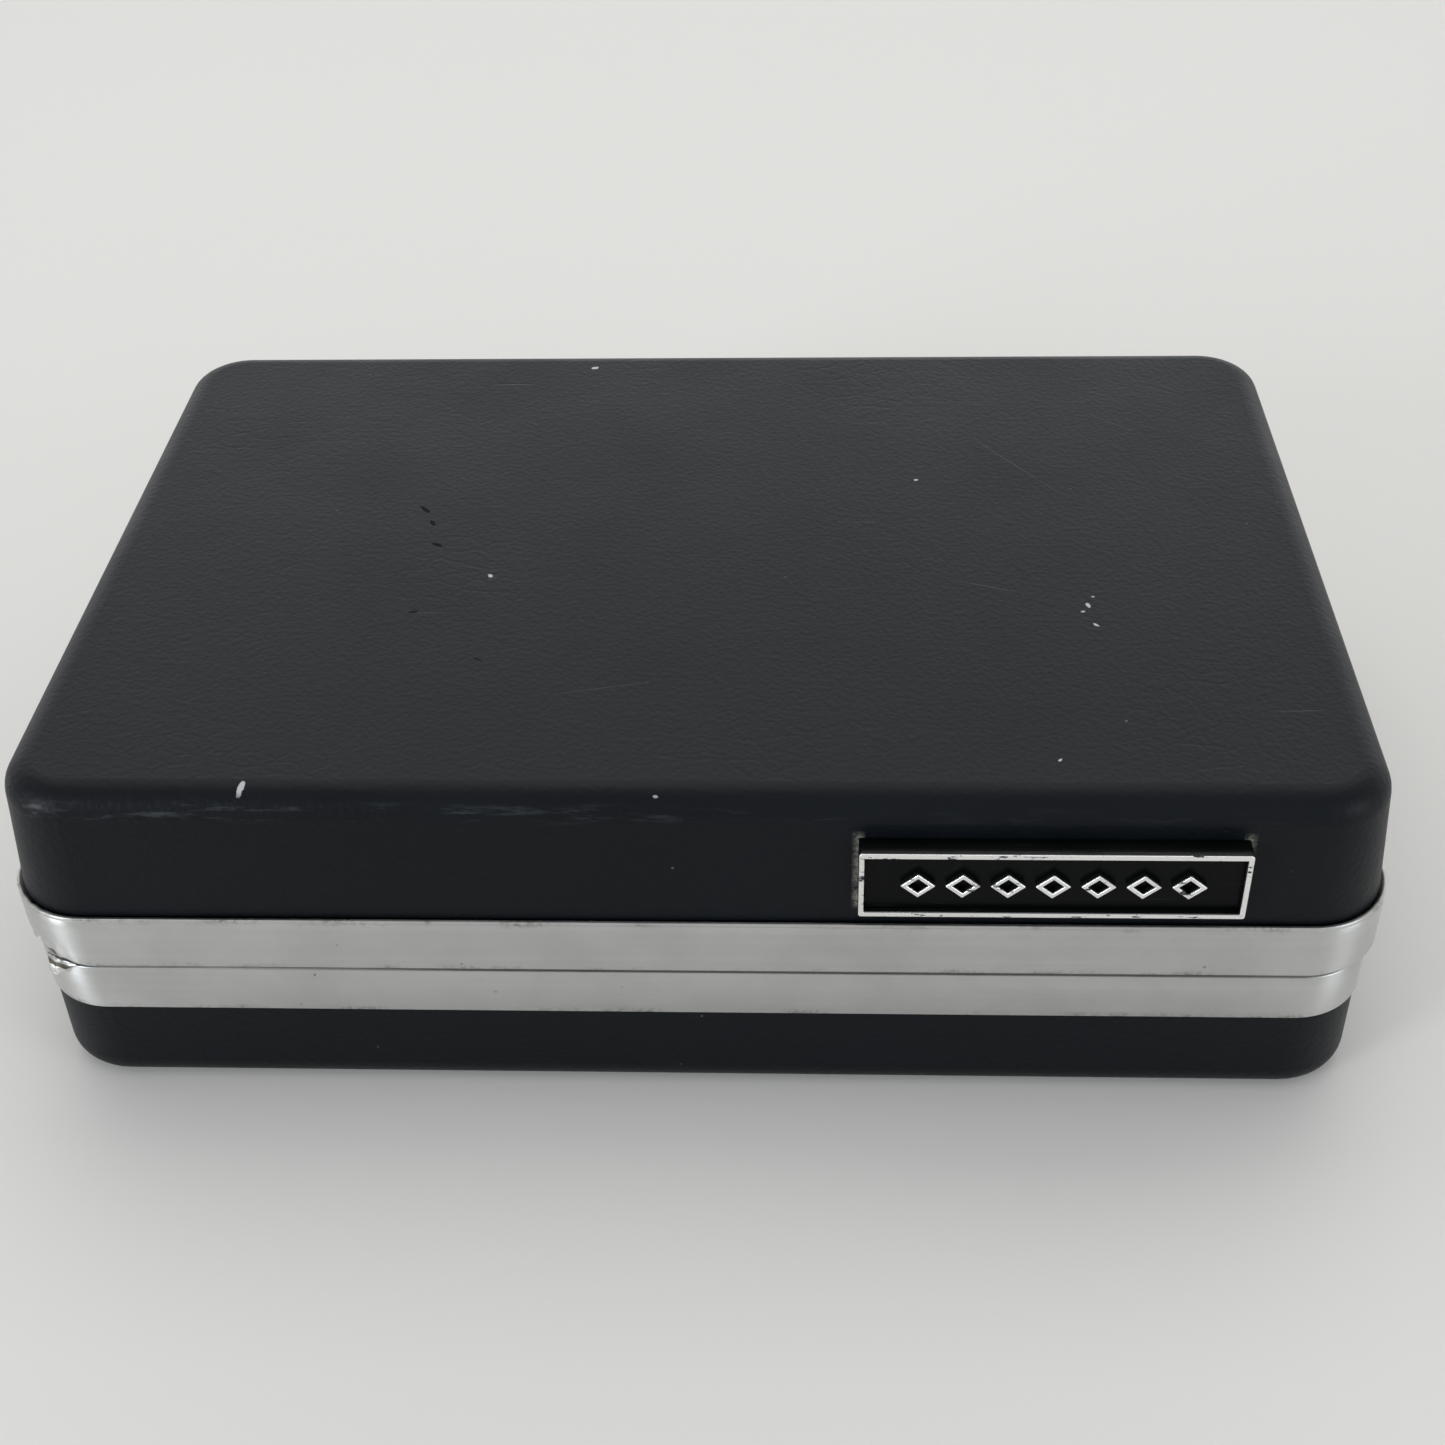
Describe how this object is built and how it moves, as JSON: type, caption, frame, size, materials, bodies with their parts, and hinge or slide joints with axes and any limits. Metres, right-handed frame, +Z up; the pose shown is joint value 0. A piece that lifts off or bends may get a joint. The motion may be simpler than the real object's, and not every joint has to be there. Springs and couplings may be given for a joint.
{
  "type": "electric shaver in a travel case",
  "caption": "Corded foil shaver lying in a hinged black travel case with aluminium bands, a mirror, a cleaning brush and a cord well.",
  "frame": {"origin": "centre of the flat underside of the case's base, where it rests", "axes": "+X to the right along the front, -Y out of the front face that has the nameplate, +Z up"},
  "size_m": [0.1812, 0.1275, 0.0506],
  "materials": {
    "case_plastic": "satin black moulding with a faint leather grain",
    "band_aluminium": "brushed along its length",
    "tray_plastic": "flocked dark red moulding",
    "plate_black": "semi-gloss black",
    "bright_plating": "bright plated",
    "steel": "plain steel",
    "mirror": "silvered glass",
    "shaver_plastic": "gloss black moulding",
    "switch_plastic": "ivory moulding",
    "moulding_black": "plain dark moulding",
    "bristle": "nylon bristle",
    "brass": "plain brass",
    "lamination": "stacked steel sheet",
    "winding": "enamelled copper wire"
  },
  "bodies": {
    "case_and_shaver": {"base_shell": "case_plastic", "base_band": "band_aluminium", "tray": "tray_plastic", "catch_springs": "steel", "hinge_base_leaves": "bright_plating", "hinge_pins": "steel", "hinge_base_rivets": "steel", "cleaning_brush_handle": "shaver_plastic", "cleaning_brush_bristles": "bristle", "shaver_front_shell": "shaver_plastic", "shaver_back_shell": "shaver_plastic", "shaver_trim_strips": "bright_plating", "shaver_body_screws": "steel", "power_inlet": "moulding_black", "inlet_pins": "brass", "switch_block": "moulding_black", "capacitor": "moulding_black", "motor_front_bracket": "steel", "motor_rear_bracket": "steel", "front_bearing": "brass", "rear_bearing": "brass", "stator_core": "lamination", "field_coils": "winding", "carbon_brushes": "moulding_black", "brush_holders": "brass", "brush_springs": "steel", "bulkhead": "moulding_black", "guide_rods": "steel", "foil_upper": "steel", "foil_lower": "steel", "foil_carrier": "moulding_black", "head_frame": "bright_plating"},
    "lid": {"lid_shell": "case_plastic", "lid_band": "band_aluminium", "lid_liner": "tray_plastic", "catch_lugs": "steel", "hinge_lid_leaves": "bright_plating", "hinge_lid_rivets": "steel", "mirror_glass": "mirror", "mirror_frame": "tray_plastic", "nameplate_block": "plate_black", "nameplate_border": "bright_plating", "nameplate_studs": "bright_plating"},
    "rotor": {"rotor_shaft": "steel", "rotor_core": "lamination", "rotor_windings": "winding", "commutator": "brass", "cooling_fan": "moulding_black", "eccentric": "steel"},
    "oscillator": {"oscillator_bridge": "moulding_black", "cutter_upper": "steel", "cutter_lower": "steel"},
    "power_switch": {"switch_slider": "switch_plastic"},
    "release_rear": {"release_button_rear": "shaver_plastic"},
    "release_front": {"release_button_front": "shaver_plastic"},
    "trimmer": {"trimmer_carriage": "shaver_plastic", "trimmer_comb": "steel"},
    "trimmer_blade": {"trimmer_cutter": "steel"}
  },
  "joints": [
    {"name": "lid_hinge", "type": "hinge", "parent": "case_and_shaver", "child": "lid", "pos_m": [0, 0.06325, 0.0231], "axis": [-1, 0, 0], "range_deg": [0, 100]},
    {"name": "rotor_spin", "type": "hinge", "parent": "case_and_shaver", "child": "rotor", "pos_m": [0, -0.008, 0.02205], "axis": [1, 0, 0], "continuous": true},
    {"name": "cutter_slide", "type": "slide", "parent": "case_and_shaver", "child": "oscillator", "axis": [0, 1, 0], "range_m": [-0.0012, 0.0012]},
    {"name": "switch_slide", "type": "slide", "parent": "case_and_shaver", "child": "power_switch", "axis": [1, 0, 0], "range_m": [0, 0.005]},
    {"name": "release_rear_push", "type": "slide", "parent": "case_and_shaver", "child": "release_rear", "axis": [0, -1, 0], "range_m": [0, 0.0012], "stiffness_N_per_m": 500, "springref_m": -0.0004},
    {"name": "release_front_push", "type": "slide", "parent": "case_and_shaver", "child": "release_front", "axis": [0, 1, 0], "range_m": [0, 0.0012], "stiffness_N_per_m": 500, "springref_m": -0.0004},
    {"name": "trimmer_slide", "type": "slide", "parent": "case_and_shaver", "child": "trimmer", "axis": [-1, 0, 0], "range_m": [0, 0.004]},
    {"name": "trimmer_blade_slide", "type": "slide", "parent": "trimmer", "child": "trimmer_blade", "axis": [0, 1, 0], "range_m": [-0.0006, 0.0006]}
  ]
}
